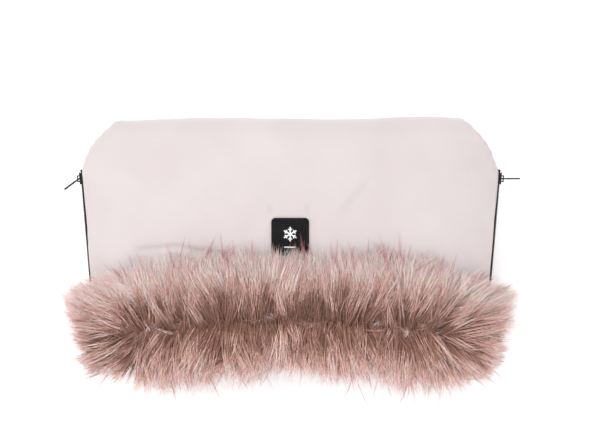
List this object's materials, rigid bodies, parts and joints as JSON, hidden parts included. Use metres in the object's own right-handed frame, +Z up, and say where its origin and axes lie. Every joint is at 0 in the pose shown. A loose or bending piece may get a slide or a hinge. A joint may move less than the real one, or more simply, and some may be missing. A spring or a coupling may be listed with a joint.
{
  "type": "hand warmer muff",
  "caption": "Padded hand muff that folds over a stroller handlebar and zips up both sides, with a fur-trimmed mouth for the hands.",
  "frame": {"origin": "on the table under the middle of the muff as it lies on its back", "axes": "+X to the right across the width, +Y from the mouth towards the folded edge, +Z up out of the front panel"},
  "size_m": [0.502, 0.297, 0.1195],
  "materials": {
    "shell_cloth": "fine woven powder-pink shell cloth with a soft sheen",
    "wadding": "white fibre wadding",
    "plush_lining": "short-pile pink plush",
    "faux_fur": "long-pile faux fur, taupe roots and pink-beige tips",
    "label_rubber": "matte black moulded rubber",
    "black_thread": "polyester thread",
    "emblem_rubber": "raised white rubber",
    "zip_tape": "black woven polyester tape",
    "zip_plastic": "black moulded teeth",
    "zip_metal": "black lacquered die-cast metal"
  },
  "bodies": {
    "back_half": {"outer_shell_back": "shell_cloth", "padding_back": "wadding", "lining_back": "plush_lining", "fur_trim_back": "faux_fur", "left_zip_tape_back": "zip_tape", "left_zip_teeth_back": "zip_plastic", "left_zip_top_stop_back": "zip_metal", "left_zip_box": "zip_plastic", "right_zip_tape_back": "zip_tape", "right_zip_teeth_back": "zip_plastic", "right_zip_top_stop_back": "zip_metal", "right_zip_box": "zip_plastic"},
    "front_half": {"outer_shell_front": "shell_cloth", "padding_front": "wadding", "lining_front": "plush_lining", "fur_trim_front": "faux_fur", "label_patch": "label_rubber", "label_stitching": "black_thread", "label_emblem": "emblem_rubber", "left_zip_tape_front": "zip_tape", "left_zip_teeth_front": "zip_plastic", "left_zip_top_stop_front": "zip_metal", "left_zip_pin": "zip_plastic", "right_zip_tape_front": "zip_tape", "right_zip_teeth_front": "zip_plastic", "right_zip_top_stop_front": "zip_metal", "right_zip_pin": "zip_plastic"},
    "left_slider": {"left_zip_slider": "zip_metal"},
    "left_pull": {"left_zip_pull": "zip_metal"},
    "right_slider": {"right_zip_slider": "zip_metal"},
    "right_pull": {"right_zip_pull": "zip_metal"}
  },
  "joints": [
    {"name": "front_half_hinge", "type": "hinge", "parent": "back_half", "child": "front_half", "pos_m": [0, 0.1485, 0.044], "axis": [-1, 0, 0], "range_deg": [0, 160]},
    {"name": "left_slider_slide", "type": "slide", "parent": "back_half", "child": "left_slider", "axis": [0.0837, -0.9965, 0], "range_m": [0, 0.173], "deforming": ["left_zip_teeth_front", "left_zip_teeth_back"]},
    {"name": "right_slider_slide", "type": "slide", "parent": "back_half", "child": "right_slider", "axis": [-0.0837, -0.9965, 0], "range_m": [0, 0.173], "deforming": ["right_zip_teeth_front", "right_zip_teeth_back"]},
    {"name": "left_pull_hinge", "type": "hinge", "parent": "left_slider", "child": "left_pull", "pos_m": [-0.23044, 0.08223, 0.044], "axis": [0, 0, 1], "range_deg": [-117, 53]},
    {"name": "right_pull_hinge", "type": "hinge", "parent": "right_slider", "child": "right_pull", "pos_m": [0.23044, 0.08223, 0.044], "axis": [0, 0, 1], "range_deg": [-90, 80]}
  ]
}
